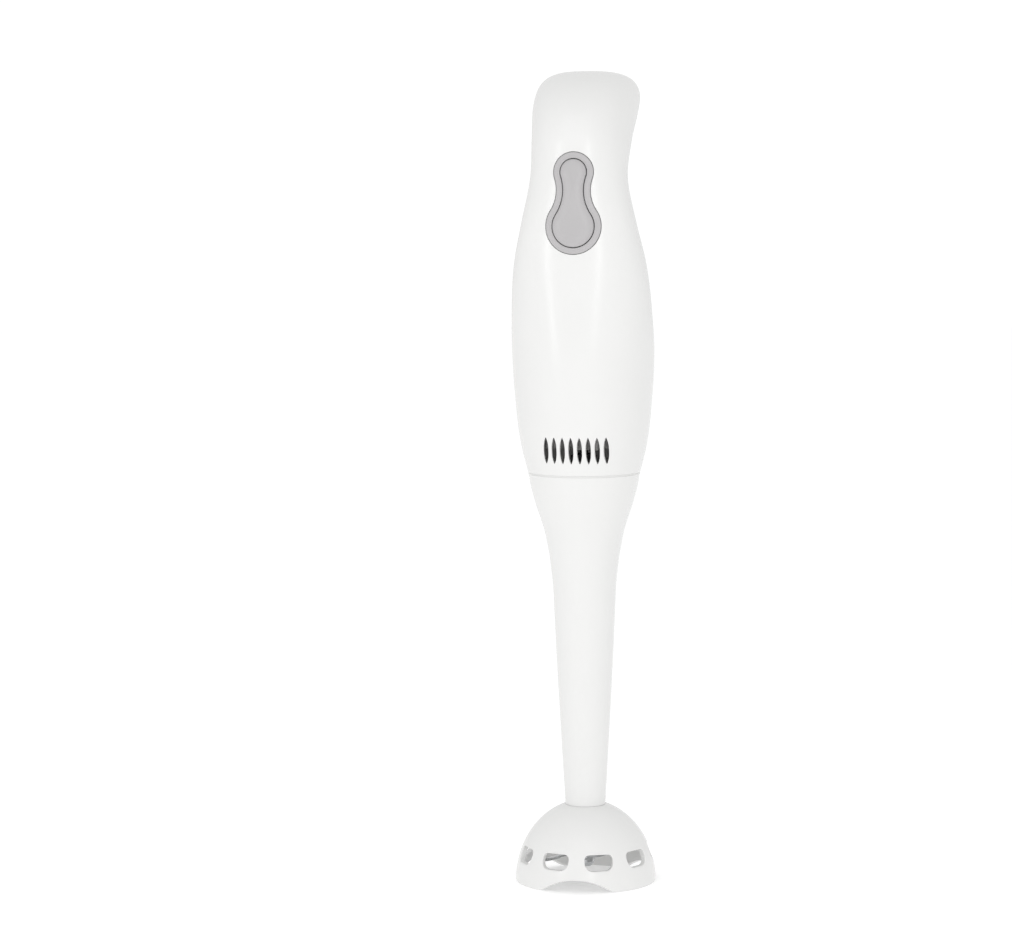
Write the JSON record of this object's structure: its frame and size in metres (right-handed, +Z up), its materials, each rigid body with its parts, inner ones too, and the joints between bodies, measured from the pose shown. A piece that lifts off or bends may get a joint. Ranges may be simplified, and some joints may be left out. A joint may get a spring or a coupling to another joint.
{
  "type": "immersion blender",
  "caption": "Hand-held immersion blender: waisted white handle with a grey two-lobed rocker and air slots, slim shaft tube and a slotted bell guard over a bent blade.",
  "frame": {"origin": "centre of the blade guard's rim, on the surface the blender stands on", "axes": "+Z up along the drive shaft to the top of the handle, -Y the front with the rocker, +Y the cord gland"},
  "size_m": [0.066, 0.0679, 0.38],
  "materials": {
    "white_plastic": "moulded white ABS, polished",
    "grey_plastic": "moulded grey plastic, satin",
    "pale_plastic": "pale grey plastic",
    "black_plastic": "black moulded plastic",
    "rubber": "moulded rubber",
    "steel": "ground stainless steel",
    "zinc": "zinc-plated steel",
    "bronze": "sintered bronze",
    "copper": "copper",
    "carbon": "pressed carbon",
    "ferrite": "ferrite",
    "board": "circuit board",
    "blue_plastic": "blue moulded case",
    "red_plastic": "red plastic"
  },
  "bodies": {
    "housing": {"front_shell": "white_plastic", "rear_shell": "white_plastic", "lower_housing": "white_plastic", "blade_guard": "white_plastic", "housing_seal": "pale_plastic", "motor_bracket": "pale_plastic", "cord_gland": "grey_plastic", "button_bezel": "grey_plastic", "shell_screw_lower_left": "zinc", "shell_screw_lower_right": "zinc", "shell_screw_upper_left": "zinc", "shell_screw_upper_right": "zinc", "board_screw_lower": "zinc", "board_screw_upper": "zinc", "motor_screw_left": "zinc", "motor_screw_right": "zinc", "motor_can": "zinc", "rocker_pin": "steel", "return_spring_low": "steel", "return_spring_high": "steel", "switch_low": "black_plastic", "switch_high": "black_plastic", "bridge_rectifier": "black_plastic", "speed_diode": "black_plastic", "motor_end_cap": "black_plastic", "motor_lead_left": "red_plastic", "suppression_capacitor": "blue_plastic", "motor_lead_right": "blue_plastic", "switch_board": "board", "magnet_left": "ferrite", "magnet_right": "ferrite", "brush_left": "carbon", "brush_right": "carbon", "brush_spring_left": "bronze", "brush_spring_right": "bronze", "motor_bush_lower": "bronze", "motor_bush_upper": "bronze", "shaft_bush_upper": "bronze", "shaft_bush_lower": "bronze", "motor_damper_lower": "rubber", "motor_damper_upper": "rubber", "shaft_seal": "rubber"},
    "rocker": {"rocker_button": "grey_plastic"},
    "low_plunger": {"plunger_low": "red_plastic"},
    "high_plunger": {"plunger_high": "red_plastic"},
    "rotor": {"motor_shaft": "steel", "armature_core": "steel", "winding_lower": "copper", "winding_upper": "copper", "commutator": "copper", "cooling_fan": "pale_plastic", "coupling": "rubber", "drive_shaft": "steel", "thrust_washer": "steel", "blade_spacer": "steel", "blade": "steel", "blade_cap": "steel"}
  },
  "joints": [
    {"name": "rocker_press", "type": "hinge", "parent": "housing", "child": "rocker", "pos_m": [0, -0.0294, 0.321], "axis": [1, 0, 0], "range_deg": [-4.5, 4.5], "stiffness_Nm_per_rad": 0.15, "deforming": ["return_spring_low", "return_spring_high"]},
    {"name": "low_plunger_slide", "type": "slide", "parent": "housing", "child": "low_plunger", "axis": [0, 1, 0], "range_m": [-0.0011, 0.0011]},
    {"name": "high_plunger_slide", "type": "slide", "parent": "housing", "child": "high_plunger", "axis": [0, 1, 0], "range_m": [-0.0011, 0.0011]},
    {"name": "drive_spin", "type": "hinge", "parent": "housing", "child": "rotor", "pos_m": [0, 0, 0.1], "axis": [0, 0, 1], "continuous": true}
  ],
  "couplings": [
    {"joint": "low_plunger_slide", "follows": "rocker_press", "m_per_rad": 0.0125},
    {"joint": "high_plunger_slide", "follows": "rocker_press", "m_per_rad": -0.012}
  ]
}
